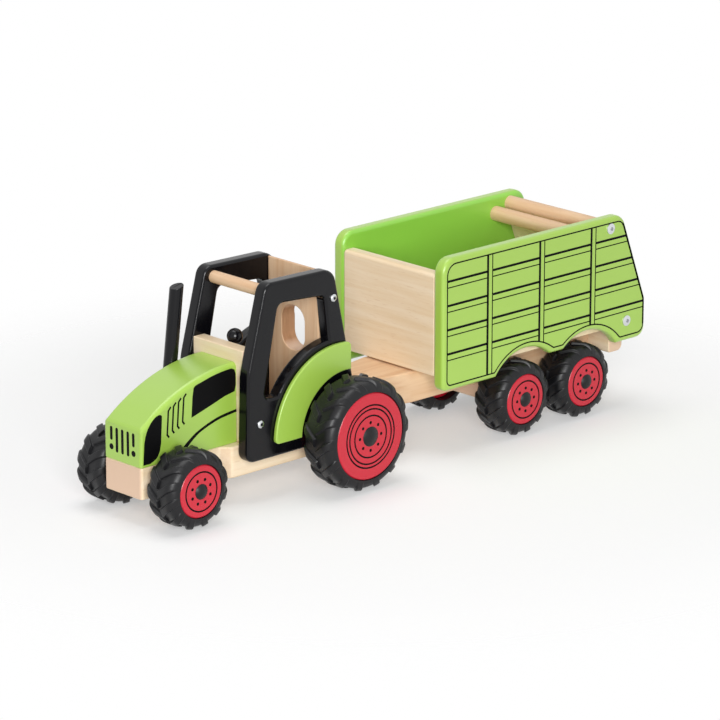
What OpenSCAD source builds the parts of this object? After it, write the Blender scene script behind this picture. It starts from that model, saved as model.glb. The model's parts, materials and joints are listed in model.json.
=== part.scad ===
// Wooden toy tractor with a hitched two-axle trailer.
// X runs forward, Y to the left and Z up, with the origin on the ground at the middle of the set.

/* [Wheels] */
// Diameter of the small tyres over their lugs
small_tyre_d = 60; // [54:1:64]
// Width of the small tyres
small_tyre_w = 30.5; // [26:0.5:34]
// Diameter of the hubs in the small tyres
small_hub_d = 40.4; // [34:0.2:44]
// Diameter of the caps on the small wheels' axles
small_cap_d = 12.2; // [9:0.2:16]
// Number of lugs on each side of a small tyre
small_lugs = 12; // [8:2:14]
// Diameter of the big tyres over their lugs
big_tyre_d = 87; // [80:1:92]
// Width of the big tyres
big_tyre_w = 31.5; // [27:0.5:36]
// Diameter of the hubs in the big tyres
big_hub_d = 67.6; // [58:0.2:70]
// Diameter of the caps on the big wheels' axle
big_cap_d = 15.8; // [9:0.2:20]
// Number of lugs on each side of a big tyre
big_lugs = 14; // [10:2:18]
// Height of the tread lugs
lug_h = 2; // [1.5:0.1:3]
// Width of a tread lug
lug_w = 5; // [3.6:0.2:6]
// Slant of the tread lugs in degrees
lug_slant = 38; // [25:1:42]
// Rounding of the tyres' shoulders
shoulder_r = 7.5; // [5:0.5:9]
// Rounding of the hubs' outer edges
hub_edge_r = 2; // [1:0.5:3]
// Diameter of the boss on the back of a hub
boss_d = 14; // [11:0.5:18]
// Height of the caps on the axle ends
cap_h = 2.6; // [2:0.2:5]
// Diameter of the axles
axle_d = 6; // [5:0.5:7]

/* [Fits] */
// Radial clearance of an axle, stem or peg that turns in its bore
run_gap = 0.08; // [0.05:0.01:0.1]
// Radial clearance of pieces that are pressed or glued together
seat_gap = 0.02; // [0.01:0.01:0.05]
// Gap between a turning hub and the side that it runs against
side_gap = 0.4; // [0.3:0.1:1]
// Gap between a tyre and the side that it turns beside
tyre_gap = 1.2; // [0.8:0.1:2]

/* [Chassis] */
// Distance between the front and rear axles
wheelbase = 150.8; // [145:0.2:165]
// Length of the nose ahead of the front axle
nose_l = 27.8; // [20:0.2:29]
// Width of the chassis under the hood
chassis_w = 41.5; // [36:0.5:46]
// Height of the chassis beam
chassis_h = 24.5; // [22:0.5:28]
// Height of the chassis above the ground
chassis_z = 20.8; // [18:0.2:23]
// Rounding of the chassis nose and of the hood's front edges
nose_r = 2.5; // [1.5:0.5:8]
// Gap between the chassis and the front tyres
front_gap = 4; // [2:0.5:6]
// Distance from the rear axle back to the hitch peg
hitch_back = 41; // [39:0.5:50]
// Half width of the chassis tail, which is round about the hitch peg
tail_r = 16; // [13:0.5:17]
// Diameter of the hitch peg
peg_d = 10; // [8:0.5:12]
// Height of the hitch peg above the drawbar
peg_proud = 5; // [3:0.5:8]

/* [Hood] */
// Height of the hood's rear end above the chassis
hood_h = 62; // [56:0.5:68]
// Radius of the hood's curved top
hood_top_r = 149; // [135:1:160]
// Rounding of the hood's long top edges
hood_edge_r = 4; // [2:0.5:6]
// Rounding of the hood's top front edge
hood_nose_r = 6; // [3:0.5:9]
// Diameter of the exhaust stack
stack_d = 10.5; // [8:0.5:12]
// Depth of the groove that the exhaust stack is glued into
stack_sunk = 2; // [1:0.5:3]
// Length of the exhaust stack
stack_l = 111; // [80:1:115]
// Distance from the dash board forward to the exhaust stack's foot
stack_ahead = 31; // [26:0.5:40]
// Rearward lean of the exhaust stack in degrees
stack_lean = 7; // [0:0.2:9]

/* [Cab] */
// Width between the cab's side panels
cab_w = 55.6; // [52:0.2:60]
// Thickness of the cab's side panels
cab_panel_t = 11; // [8:0.5:13]
// Height of the cab's top edge above the ground
cab_top_z = 168; // [160:0.5:180]
// Height of the cab panels' lower edge above the ground
cab_low_z = 33; // [28:0.5:35]
// Distance from the rear axle forward to the cab panels' lower front corner
cab_ahead = 91.5; // [88:0.5:98]
// Rearward lean of the cab's front posts over their height
post_lean = 18; // [12:0.5:22]
// Height of the cab panels' bend above their lower edge
waist_h = 67; // [62:1:70]
// Distance from the rear axle forward to the dash board's front face
dash_ahead = 85; // [80:0.5:87]
// Thickness of the dash board
dash_t = 11; // [10:0.5:15]
// Height of the dash board's top edge above the ground
dash_z = 117; // [108:0.5:125]
// Distance from the rear axle forward to the back board's front face
back_ahead = 9.3; // [8:0.1:11]
// Thickness of the cab's back board
back_t = 14; // [10:0.5:16]
// Width of the rear window in the back board
rear_slot_w = 25; // [14:0.5:30]
// Height of the rear window in the back board
rear_slot_h = 43; // [32:0.5:48]
// Diameter of the dowel across the cab's roof
roof_dowel_d = 9.5; // [7:0.5:11]
// Distance from the rear axle forward to the roof dowel
roof_dowel_ahead = 63.8; // [60:0.2:66]
// Depth of the roof dowel's ends in the panels
dowel_sunk = 3; // [2:0.5:5]
// Thickness of the rear fenders
fender_t = 3.7; // [3:0.1:6]
// Radial width of the rear fenders beyond the tyres
fender_rim = 22; // [16:0.5:24]
// Width of the panel left between a fender and the side window
sill_rim = 4; // [3:0.5:7]
// Diameter of the steering knob
steer_d = 12.2; // [10:0.2:12.4]
// Diameter of the steering stem
stem_d = 5; // [4:0.5:6]

/* [Trailer] */
// Distance from the hitch peg back to the trailer's side panels
drawbar_l = 48.2; // [47:0.2:70]
// Width of the drawbar beam under the box
drawbar_w = 55.6; // [48:0.2:58]
// Height of the drawbar beam
drawbar_h = 24.5; // [22:0.5:26]
// Height of the drawbar beam above the ground
drawbar_z = 40; // [38.5:0.5:42]
// Radius of the drawbar's nose round the hitch peg
drawbar_r = 18; // [14:0.5:19]
// Distance from the box's front to the first trailer axle
bogie_back = 92.3; // [88:0.1:100]
// Distance between the two trailer axles
axle_pitch = 68.4; // [66:0.2:76]
// Length of the axle block beyond each trailer axle
bogie_end = 13.3; // [9:0.1:16]
// Height of the axle block above the ground
bogie_z = 24; // [20:0.5:25]
// Width between the trailer's side panels
box_w = 100; // [94:0.5:104]
// Length of the side panels along their lower edge
panel_l = 226.4; // [222:0.2:250]
// Length of the side panels along their top edge
panel_top_l = 199; // [194:1:210]
// Height of the side panels
panel_h = 105; // [100:1:115]
// Height of the upright rear edge of the side panels
panel_tail_h = 32; // [26:1:40]
// Height of the side panels' lower edge above the ground
panel_z = 55; // [53.5:0.5:58]
// Thickness of the side panels
panel_t = 11; // [8:0.5:12]
// Gap between a tyre and the wheel arch over it
arch_gap = 12; // [9:0.5:13]
// Rise of the side panels' lower edge between the two arches
mid_rise = 7; // [5:0.5:9]
// Thickness of the front board
front_board_t = 12; // [8:0.5:15]
// Height of the front board
front_board_h = 82; // [70:0.5:92]
// Thickness of the floor board
floor_t = 8; // [6:0.5:10]
// Thickness of the sloping rear board
rear_board_t = 11; // [8:0.5:13]
// Height of the rear board above the floor
rear_board_h = 82.5; // [60:0.5:84]
// Thickness of the rear sill
sill_t = 15.5; // [13:0.5:20]
// Height of the rear sill
sill_h = 36; // [34:0.5:40]
// Height of the rear sill above the ground
sill_z = 44; // [41:0.5:46]
// Distance from the box's front back to the rear sill
sill_back = 196.2; // [190:0.2:202]
// Diameter of the dowel across the box's rear
rear_dowel_d = 12; // [9:0.5:13]
// Distance from the side panels' top rear corner forward to the rear dowel
rear_dowel_in = 15; // [13:0.5:18]
// Depth of the dowels' axes below the panels' top edges
dowel_drop = 9; // [8:0.5:11]

/* [Screws] */
// Diameter of the cab's screw heads
cab_head_d = 5.8; // [5:0.2:7.4]
// Diameter of the trailer's screw heads
trailer_head_d = 8.6; // [6.6:0.2:9.4]
// Height of the screw heads
screw_head_h = 1.8; // [1.2:0.1:2.5]
// Diameter of the screw shanks
screw_d = 3.4; // [2.6:0.2:4]
// Length of the screws below their heads
screw_l = 26; // [22:1:32]

/* [Hidden] */
$fn = 64;

// Colours of the finishes
lime = "#A6D05F";
black = "#2A2B2E";
beech = "#E2C49C";
red = "#E83A4B";
rubber = "#303033";
steel = "#C8CBD0";

// Stations along the set, measured from the middle of its length
small_r = small_tyre_d / 2;
big_r = big_tyre_d / 2;
front_reach = max(small_r, nose_l);
hitch_to_tail = drawbar_l + panel_l;
front_x = (wheelbase + hitch_back + hitch_to_tail - front_reach) / 2;
rear_x = front_x - wheelbase;
hitch_x = rear_x - hitch_back;
box_x = hitch_x - drawbar_l;
bogie_front_x = box_x - bogie_back;
bogie_rear_x = bogie_front_x - axle_pitch;
dash_x = rear_x + dash_ahead;
back_x = rear_x + back_ahead;
dash_screw_x = dash_x - 7;
back_screw_x = rear_x + 4;
sill_x = box_x - sill_back;

// Heights above the ground
chassis_top = chassis_z + chassis_h;
drawbar_top = drawbar_z + drawbar_h;
floor_top = drawbar_top + floor_t;
panel_top = panel_z + panel_h;
lap_z = chassis_top + side_gap;
dash_screw_z = chassis_top + 16.5;
back_screw_z = cab_top_z - 23.5;
sill_screw_z = sill_z + 28;

// Half widths and side faces
cab_in = cab_w / 2;
cab_out = cab_in + cab_panel_t;
box_in = box_w / 2;
box_out = box_in + panel_t;
fender_out = cab_out + fender_t;

// Dowel, stack and steering places
roof_dowel_x = rear_x + roof_dowel_ahead;
roof_dowel_z = cab_top_z - dowel_drop;
rear_dowel_x = box_x - panel_top_l + rear_dowel_in;
rear_dowel_z = panel_top - dowel_drop;
stack_x = dash_x + stack_ahead;
stack_z = chassis_top + 14.7;
stem_tilt = 55;
stem_reach = 10.6;
stem_sunk = 10;
stem_z = dash_z - 6.2;
tail_lean = atan((panel_l - panel_top_l) / (panel_h - panel_tail_h));
arc_steps = 8;
overcut = 1;
bore_sunk = 12;

// Each wheelset: name, axle x, tyre diameter, tyre width, hub diameter, inner tyre face,
// side that the hub's boss runs against, lugs on each side, cap diameter
WHEELSETS = [
  ["front", front_x, small_tyre_d, small_tyre_w, small_hub_d, chassis_w / 2 + front_gap,
    chassis_w / 2, small_lugs, small_cap_d],
  ["rear", rear_x, big_tyre_d, big_tyre_w, big_hub_d, fender_out + tyre_gap,
    cab_out, big_lugs, big_cap_d],
  ["bogie_front", bogie_front_x, small_tyre_d, small_tyre_w, small_hub_d, drawbar_w / 2 + tyre_gap,
    drawbar_w / 2, small_lugs, small_cap_d],
  ["bogie_rear", bogie_rear_x, small_tyre_d, small_tyre_w, small_hub_d, drawbar_w / 2 + tyre_gap,
    drawbar_w / 2, small_lugs, small_cap_d]
];
SIDES = [["left", 1], ["right", -1]];

// Unit vector from one point of a plane to another
function toward(a, b) = [b[0] - a[0], b[1] - a[1]] / norm([b[0] - a[0], b[1] - a[1]]);

// Points of the arc that rounds corner p, with neighbours a and b, to the radius p[2]
function rounded_corner(a, p, b) =
  let (u = toward(p, a), v = toward(p, b), turn = acos(u * v), sweep = 180 - turn)
  let (mid = (u + v) / norm(u + v), c = [p[0], p[1]] + mid * p[2] / sin(turn / 2))
  let (s = [p[0], p[1]] + u * p[2] / tan(turn / 2) - c, e = [p[0], p[1]] + v * p[2] / tan(turn / 2) - c)
  p[2] == 0 ? [[p[0], p[1]]] :
  [for (i = [0:arc_steps]) let (k = i / arc_steps)
    c + (sin((1 - k) * sweep) * s + sin(k * sweep) * e) / sin(sweep)];

// Outline through corners given as [x, y, rounding radius]
function rounded(corners) =
  let (n = len(corners))
  [for (i = [0:n - 1]) each rounded_corner(corners[(i + n - 1) % n], corners[i], corners[(i + 1) % n])];

// Outline of a circle's arc, from angle a0 to a1
function arc(centre, r, a0, a1, steps) =
  [for (i = [0:steps]) let (a = a0 + (a1 - a0) * i / steps) [centre[0] + r * cos(a), centre[1] + r * sin(a), 0]];

// Side view outline, drawn as x and z, given its thickness from y0 to y1
module upright(y0, y1) {
  translate([0, y1, 0])
    rotate([90, 0, 0])
      linear_extrude(y1 - y0)
        children();
}

// Plan outline given its height from z0 to z1
module layer(z0, z1) {
  translate([0, 0, z0])
    linear_extrude(z1 - z0)
      children();
}

// Round bar along Y
module cross_bar(x, z, d, y0, y1) {
  translate([x, y1, z])
    rotate([90, 0, 0])
      cylinder(d = d, h = y1 - y0);
}

// Bore along Y, right through a piece of half width half_w
module cross_bore(x, z, d, half_w) {
  cross_bar(x, z, d, -half_w - overcut, half_w + overcut);
}

// Rectangle with rounded corners, from two opposite corners, with true arcs
module rounded_rect(x0, y0, x1, y1, r) {
  translate([x0 + r, y0])
    square([x1 - x0 - 2 * r, y1 - y0]);
  translate([x0, y0 + r])
    square([x1 - x0, y1 - y0 - 2 * r]);
  for (x = [x0 + r, x1 - r], y = [y0 + r, y1 - r])
    translate([x, y])
      circle(r);
}

// Turns a wheel profile, drawn as radius and Y, about the Y axis
module turned() {
  rotate([90, 0, 0])
    rotate_extrude()
      mirror([0, 1])
        children();
}

// Plan of the chassis: narrow between the front tyres, wide under the cab, round about the hitch peg
module chassis_plan() {
  nose_x = front_x + nose_l;
  flare_x = rear_x + cab_ahead + 4.5;
  cab_tail_x = rear_x - 22;
  flare_r = 4;
  half = [
    [nose_x, chassis_w / 2, nose_r],
    [flare_x + 7, chassis_w / 2, flare_r],
    [flare_x, cab_in, flare_r],
    [cab_tail_x, cab_in, flare_r],
    [cab_tail_x, tail_r, flare_r],
    [hitch_x, tail_r, 0]
  ];
  far_half = [for (i = [len(half) - 1:-1:0]) [half[i][0], -half[i][1], half[i][2]]];
  polygon(rounded(concat(half, far_half)));
  translate([hitch_x, 0])
    circle(tail_r);
}

module chassis() {
  color(beech)
    difference() {
      layer(chassis_z, chassis_top)
        chassis_plan();
      cross_bore(front_x, small_r, axle_d + 2 * run_gap, chassis_w / 2);
      cross_bore(rear_x, big_r, axle_d + 2 * tyre_gap, cab_in);
      translate([hitch_x, 0, chassis_top - bore_sunk])
        cylinder(d = peg_d + 2 * seat_gap, h = bore_sunk + overcut);
    }
}

// Upright dowel with a domed end, glued into the chassis tail
module hitch_peg() {
  dome_r = peg_d * 0.7;
  dome_drop = dome_r - sqrt(dome_r * dome_r - peg_d * peg_d / 4);
  peg_top = drawbar_top + peg_proud;
  foot = chassis_top - bore_sunk;
  color(beech)
    translate([hitch_x, 0, foot])
      rotate_extrude()
        intersection() {
          square([peg_d / 2, peg_top - foot]);
          union() {
            square([peg_d / 2, peg_top - foot - dome_drop]);
            translate([0, peg_top - foot - dome_r])
              circle(dome_r);
          }
        }
}

// Height of the hood's curved top at a station
function hood_arc_z(x) =
  chassis_top + hood_h - hood_top_r + sqrt(pow(hood_top_r, 2) - pow(x - dash_x, 2));

// Side view of the hood's front: a flat up the fall of its top, with a rounded edge to the nose
module hood_profile() {
  nose_x = front_x + nose_l;
  flat_x = nose_x - 14;
  low = [nose_x, hood_arc_z(nose_x)];
  high = [flat_x, hood_arc_z(flat_x)];
  far = low + 5 * (high - low);
  polygon(rounded([
    [dash_x, chassis_top, 0],
    [nose_x, chassis_top, 0],
    [low[0], low[1], hood_nose_r],
    [far[0], far[1], 0],
    [dash_x, far[1], 0]
  ]));
}

// Disc about the hood's crest line, whose rounded rim gives the hood its soft long edges
module hood_drum() {
  translate([dash_x, 0, chassis_top + hood_h - hood_top_r])
    turned()
      intersection() {
        rounded_rect(-hood_top_r, -chassis_w / 2, hood_top_r, chassis_w / 2, hood_edge_r);
        translate([0, -chassis_w])
          square([hood_top_r, 2 * chassis_w]);
      }
}

module hood_body() {
  nose_x = front_x + nose_l;
  intersection() {
    upright(-chassis_w, chassis_w)
      hood_profile();
    hood_drum();
    layer(chassis_top, chassis_top + hood_h + overcut)
      polygon(rounded([
        [nose_x, chassis_w / 2, nose_r],
        [dash_x, chassis_w / 2, 0],
        [dash_x, -chassis_w / 2, 0],
        [nose_x, -chassis_w / 2, nose_r]
      ]));
  }
}

// Solid hood, grooved on its right side for the exhaust stack
module hood() {
  color(lime)
    difference() {
      hood_body();
      on_stack()
        translate([0, 0, -stack_l / 2])
          cylinder(d = stack_d + 2 * seat_gap, h = 2 * stack_l);
    }
}

// Exhaust stack's axis, leaning back along the hood's right side from its foot
module on_stack() {
  translate([stack_x, stack_sunk - (chassis_w + stack_d) / 2, stack_z])
    rotate([0, -stack_lean, 0])
      children();
}

// Dowel glued into a groove in the hood's side, with a slanting top
module exhaust_stack() {
  foot_l = 8;
  cut_a = 22;
  color(black)
    on_stack()
      difference() {
        translate([0, 0, -foot_l])
          cylinder(d = stack_d, h = stack_l);
        translate([0, 0, stack_l - foot_l - stack_d * tan(cut_a) / 2])
          rotate([0, cut_a, 0])
            translate([-2 * stack_d, -stack_d, 0])
              cube([4 * stack_d, 2 * stack_d, 2 * stack_d]);
      }
}

// Steering stem's axis: out of the dash board's rear face, up and back
module on_stem() {
  translate([dash_x - dash_t, 0, stem_z])
    rotate([0, stem_tilt - 90, 0])
      children();
}

module dash_board() {
  edge_r = 1;
  color(beech)
    difference() {
      upright(-cab_in, cab_in)
        polygon(rounded([
          [dash_x, chassis_top, 0],
          [dash_x, dash_z, edge_r],
          [dash_x - dash_t, dash_z, edge_r],
          [dash_x - dash_t, chassis_top, 0]
        ]));
      on_stem()
        translate([0, 0, -stem_sunk])
          cylinder(d = stem_d + 2 * run_gap, h = 2 * stem_sunk);
      for (side = SIDES)
        screw_bore(dash_screw_x, dash_screw_z, cab_out, side[1]);
    }
}

// Ball turned in one piece with its stem, which turns in the dash board
module steering_knob() {
  foot = side_gap - stem_sunk;
  color(black)
    on_stem()
      rotate_extrude() {
        translate([0, foot])
          square([stem_d / 2, stem_reach - foot]);
        intersection() {
          translate([0, stem_reach])
            circle(d = steer_d);
          translate([0, stem_reach - steer_d])
            square([steer_d, 2 * steer_d]);
        }
      }
}

// Board behind the driver, kept inside the panels' outline, with a tall round-ended window
module cab_back_board() {
  inset = 1;
  board_top = cab_top_z - 3;
  slot_z = board_top - 25 - rear_slot_h;
  color(beech)
    difference() {
      upright(-cab_in, cab_in)
        intersection() {
          translate([back_x - back_t, chassis_top])
            square([back_t, board_top - chassis_top]);
          translate([inset, -inset])
            polygon(rounded(cab_outline()));
        }
      translate([back_x + overcut, 0, 0])
        rotate([0, -90, 0])
          linear_extrude(back_t + 2 * overcut)
            rounded_rect(slot_z, -rear_slot_w / 2, slot_z + rear_slot_h, rear_slot_w / 2, rear_slot_w * 0.46);
      cross_bore(rear_x, big_r, axle_d + 2 * tyre_gap, cab_in);
      for (side = SIDES)
        screw_bore(back_screw_x, back_screw_z, cab_out, side[1]);
    }
}

module roof_dowel() {
  color(beech)
    cross_bar(
      roof_dowel_x, roof_dowel_z, roof_dowel_d,
      seat_gap - cab_in - dowel_sunk, cab_in + dowel_sunk - seat_gap
    );
}

// Corners of the cab's side panel
function cab_outline() =
  let (front = rear_x + cab_ahead, waist_z = cab_low_z + waist_h)
  [
    [front, cab_low_z, 4],
    [front - 2, waist_z, 40],
    [front - 2 - post_lean, cab_top_z, 9],
    [rear_x + 2.8, cab_top_z - 1.2, 12],
    [rear_x - 27, cab_low_z, 8]
  ];

// Side window inside the posts, whose lower edge follows the fender's round
module window() {
  front = rear_x + cab_ahead;
  head_z = cab_top_z - 17.5;
  difference() {
    polygon(rounded([
      [front - 18, cab_low_z + 46.5, 5],
      [front - 15 - post_lean, head_z, 6],
      [rear_x + 12.5, head_z - 3, 6],
      [rear_x + 4.6, cab_low_z + 46.5, 0]
    ]));
    translate([rear_x, big_r])
      circle(big_r + fender_rim + sill_rim);
  }
}

module cab_panel(s) {
  y0 = s > 0 ? cab_in : -cab_out;
  hole_y = s > 0 ? cab_in - overcut : -cab_in - dowel_sunk;
  color(black)
    difference() {
      upright(y0, y0 + cab_panel_t)
        difference() {
          polygon(rounded(cab_outline()));
          window();
        }
      cross_bore(rear_x, big_r, axle_d + 2 * run_gap, cab_out);
      cross_bar(
        roof_dowel_x, roof_dowel_z, roof_dowel_d + 2 * seat_gap,
        hole_y, hole_y + dowel_sunk + overcut
      );
      screw_bore(dash_screw_x, dash_screw_z, cab_out, s);
      screw_bore(back_screw_x, back_screw_z, cab_out, s);
    }
}

// Flat arc over the rear tyre, from the axle's height in front to just behind its top
module fender(s) {
  y0 = s > 0 ? cab_out : -fender_out;
  outer_r = big_r + fender_rim;
  behind = 11.5;
  throat_c = [rear_x - 6.5, big_r - 2];
  throat_r = big_r + 1.8;
  corner_r = 4;
  rim = arc([rear_x, big_r], outer_r, 0, acos(-behind / outer_r), 24);
  throat = arc(
    throat_c, throat_r,
    acos((rear_x - behind - throat_c[0]) / throat_r), asin((big_r - throat_c[1]) / throat_r), 24
  );
  path = concat(rim, throat);
  last = len(rim) - 1;
  color(lime)
    upright(y0, y0 + fender_t)
      polygon(rounded([
        for (i = [0:len(path) - 1])
          [path[i][0], path[i][1], i == 0 || i == last ? corner_r : 0]
      ]));
}

// Bore for a screw that goes in from the side face at half width half_w
module screw_bore(x, z, half_w, s) {
  y0 = s > 0 ? half_w - screw_l - overcut : -half_w - overcut;
  cross_bar(x, z, screw_d + 2 * seat_gap, y0, y0 + screw_l + 2 * overcut);
}

// Pan-head screw driven in from the side face at half width half_w
module screw(x, z, half_w, s, head_d) {
  dome_r = (pow(head_d / 2, 2) + pow(screw_head_h, 2)) / (2 * screw_head_h);
  color(steel)
    translate([x, s * half_w, z])
      rotate([-s * 90, 0, 0]) {
        translate([0, 0, -screw_l])
          cylinder(d = screw_d, h = screw_l);
        rotate_extrude()
          intersection() {
            square([head_d / 2, screw_head_h]);
            translate([0, screw_head_h - dome_r])
              circle(dome_r);
          }
      }
}

module cab_screws() {
  for (side = SIDES) {
    screw(dash_screw_x, dash_screw_z, cab_out, side[1], cab_head_d);
    screw(back_screw_x, back_screw_z, cab_out, side[1], cab_head_d);
  }
}

// Beam under the trailer, tapering to a round nose that laps over the chassis tail
module drawbar() {
  swing_r = max(tail_r, drawbar_r) + 1.5;
  color(beech)
    difference() {
      layer(drawbar_z, drawbar_top) {
        polygon([
          [hitch_x, drawbar_r],
          [box_x, drawbar_w / 2],
          [sill_x, drawbar_w / 2],
          [sill_x, -drawbar_w / 2],
          [box_x, -drawbar_w / 2],
          [hitch_x, -drawbar_r]
        ]);
        translate([hitch_x, 0])
          circle(drawbar_r);
      }
      translate([hitch_x, 0, drawbar_z - overcut])
        cylinder(r = swing_r, h = lap_z - drawbar_z + overcut);
      translate([hitch_x, 0, drawbar_z - overcut])
        cylinder(d = peg_d + 2 * run_gap, h = drawbar_h + 2 * overcut);
    }
}

// Block under the drawbar that carries both trailer axles
module axle_block() {
  edge_r = 3;
  color(beech)
    difference() {
      upright(-drawbar_w / 2, drawbar_w / 2)
        polygon(rounded([
          [bogie_front_x + bogie_end, drawbar_z, 0],
          [bogie_front_x + bogie_end, bogie_z, edge_r],
          [bogie_rear_x - bogie_end, bogie_z, edge_r],
          [bogie_rear_x - bogie_end, drawbar_z, 0]
        ]));
      for (x = [bogie_front_x, bogie_rear_x])
        cross_bore(x, small_r, axle_d + 2 * run_gap, drawbar_w / 2);
    }
}

module floor_board() {
  front = box_x - overcut - front_board_t;
  color(beech)
    layer(drawbar_top, floor_top)
      translate([sill_x, -box_in])
        square([front - sill_x, box_w]);
}

// Board across the box's front, set just inside the panels' edges
module front_board() {
  face_x = box_x - overcut;
  edge_r = 3;
  color(beech)
    upright(-box_in, box_in)
      polygon(rounded([
        [face_x, drawbar_top, 0],
        [face_x, drawbar_top + front_board_h, edge_r],
        [face_x - front_board_t, drawbar_top + front_board_h, edge_r],
        [face_x - front_board_t, drawbar_top, 0]
      ]));
}

// Board that slopes with the panels' rear edge, with a fully rounded top
module rear_board() {
  nose = rear_board_t / 2;
  run = rear_board_h / cos(tail_lean);
  color(beech)
    upright(-box_in, box_in)
      intersection() {
        translate([sill_x, floor_top])
          rotate(-tail_lean) {
            translate([0, -rear_board_t])
              square([rear_board_t, run + rear_board_t - nose]);
            translate([nose, run - nose])
              circle(nose);
          }
        translate([sill_x, floor_top])
          square([panel_l, panel_h]);
      }
}

// Block across the box's rear, under the rear board's foot
module rear_sill() {
  edge_r = 5;
  top_r = 2;
  color(beech)
    difference() {
      upright(-box_in, box_in)
        polygon(rounded([
          [sill_x, sill_z, top_r],
          [sill_x, sill_z + sill_h, top_r],
          [sill_x - sill_t, sill_z + sill_h, top_r],
          [sill_x - sill_t, sill_z, edge_r]
        ]));
      for (side = SIDES)
        screw_bore(sill_x - sill_t / 2, sill_screw_z, box_out, side[1]);
    }
}

module rear_dowel() {
  color(beech)
    difference() {
      cross_bar(rear_dowel_x, rear_dowel_z, rear_dowel_d, -box_in, box_in);
      for (side = SIDES)
        screw_bore(rear_dowel_x, rear_dowel_z, box_out, side[1]);
    }
}

// Side of the box, with a sloping rear edge and an arch over each wheel
module side_panel(s) {
  y0 = s > 0 ? box_in : -box_out;
  color(lime)
    difference() {
      upright(y0, y0 + panel_t)
        difference() {
          polygon(rounded([
            [box_x, panel_z, 6],
            [box_x, panel_top, 12],
            [box_x - panel_top_l, panel_top, 12],
            [box_x - panel_l, panel_z + panel_tail_h, 12],
            [box_x - panel_l, panel_z, 9]
          ]));
          for (x = [bogie_front_x, bogie_rear_x])
            translate([x, small_r])
              circle(small_r + arch_gap);
          translate([bogie_rear_x, panel_z - overcut])
            square([axle_pitch, mid_rise + overcut]);
        }
      screw_bore(rear_dowel_x, rear_dowel_z, box_out, s);
      screw_bore(sill_x - sill_t / 2, sill_screw_z, box_out, s);
    }
}

module trailer_screws() {
  for (side = SIDES) {
    screw(rear_dowel_x, rear_dowel_z, box_out, side[1], trailer_head_d);
    screw(sill_x - sill_t / 2, sill_screw_z, box_out, side[1], trailer_head_d);
  }
}

// Slanting bars of one side of the tread, pointing out from the hub
module lug_bars(d, w, count) {
  root_r = d / 2 - lug_h - 1.5 * shoulder_r;
  tip_y = w / 2 + overcut;
  half = lug_w / cos(lug_slant) / 2;
  sweep = tip_y * tan(lug_slant);
  for (i = [0:count - 1])
    rotate([0, 360 * i / count, 0])
      layer(root_r, d / 2 + overcut)
        polygon([[half, 0], [half - sweep, tip_y], [-half - sweep, tip_y], [-half, 0]]);
}

// Tyre standing on its axle at the origin, with chevron lugs staggered from side to side
module tyre(d, w, hub_d, count) {
  bead_r = hub_d / 2 + seat_gap;
  crown_r = d / 2 - lug_h;
  bead_edge = 1.5;
  inset = 0.6;
  color(rubber) {
    turned()
      difference() {
        rounded_rect(bead_r - shoulder_r * 2, -w / 2, crown_r, w / 2, shoulder_r);
        translate([bead_r - 3 * shoulder_r, -w])
          square([3 * shoulder_r, 2 * w]);
      }
    intersection() {
      turned()
        difference() {
          rounded_rect(0, -w / 2 + inset, d / 2, w / 2 - inset, shoulder_r + lug_h / 2);
          translate([0, -w])
            square([crown_r - shoulder_r, 2 * w]);
        }
      union() {
        lug_bars(d, w, count);
        rotate([0, 180 / count, 0])
          mirror([0, 1, 0])
            lug_bars(d, w, count);
      }
    }
  }
}

// Hub from its boss, at y = boss_y, to its outer face, with the axle's bore through it
module hub(w, hub_d, inner_y, boss_y) {
  outer_y = inner_y + w;
  back_y = inner_y + 6;
  color(red)
    turned()
      difference() {
        union() {
          translate([0, boss_y])
            square([boss_d / 2, outer_y - boss_y]);
          intersection() {
            rounded_rect(-hub_d / 2, back_y, hub_d / 2, outer_y, hub_edge_r);
            translate([0, back_y])
              square([hub_d, w]);
          }
        }
        translate([-overcut, 0])
          square([axle_d / 2 + seat_gap + overcut, 2 * outer_y]);
      }
}

// Low domed cap that covers the axle's end
module cap(cap_d, face_y) {
  dome_r = (pow(cap_d / 2, 2) + pow(cap_h, 2)) / (2 * cap_h);
  color(black)
    turned()
      difference() {
        intersection() {
          translate([0, face_y])
            square([cap_d / 2, cap_h]);
          translate([0, face_y + cap_h - dome_r])
            circle(dome_r);
        }
        translate([-overcut, face_y - overcut])
          square([axle_d / 2 + seat_gap + overcut, cap_h / 2 + overcut]);
      }
}

// Lays a piece made for the left side on either side of an axle
module on_axle(set, s) {
  translate([set[1], 0, set[2] / 2])
    mirror([0, s > 0 ? 0 : 1, 0])
      children();
}

module wheel_axle(set) {
  half = set[5] + set[3] + cap_h / 2 - seat_gap;
  color(steel)
    cross_bar(set[1], set[2] / 2, axle_d, -half, half);
}

module wheel_tyre(set, s) {
  on_axle(set, s)
    translate([0, set[5] + set[3] / 2, 0])
      tyre(set[2], set[3], set[4], set[7]);
}

module wheel_hub(set, s) {
  on_axle(set, s)
    hub(set[3], set[4], set[5], set[6] + side_gap);
}

module wheel_caps(set) {
  for (side = SIDES)
    on_axle(set, side[1])
      cap(set[8], set[5] + set[3]);
}

chassis();
hitch_peg();
hood();
exhaust_stack();
dash_board();
cab_back_board();
roof_dowel();
cab_screws();
steering_knob();
drawbar();
axle_block();
floor_board();
front_board();
rear_board();
rear_sill();
rear_dowel();
trailer_screws();
for (side = SIDES) {
  cab_panel(side[1]);
  fender(side[1]);
  side_panel(side[1]);
}
for (set = WHEELSETS) {
  wheel_axle(set);
  wheel_caps(set);
  for (side = SIDES) {
    wheel_tyre(set, side[1]);
    wheel_hub(set, side[1]);
  }
}
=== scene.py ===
import json
import math

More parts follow.
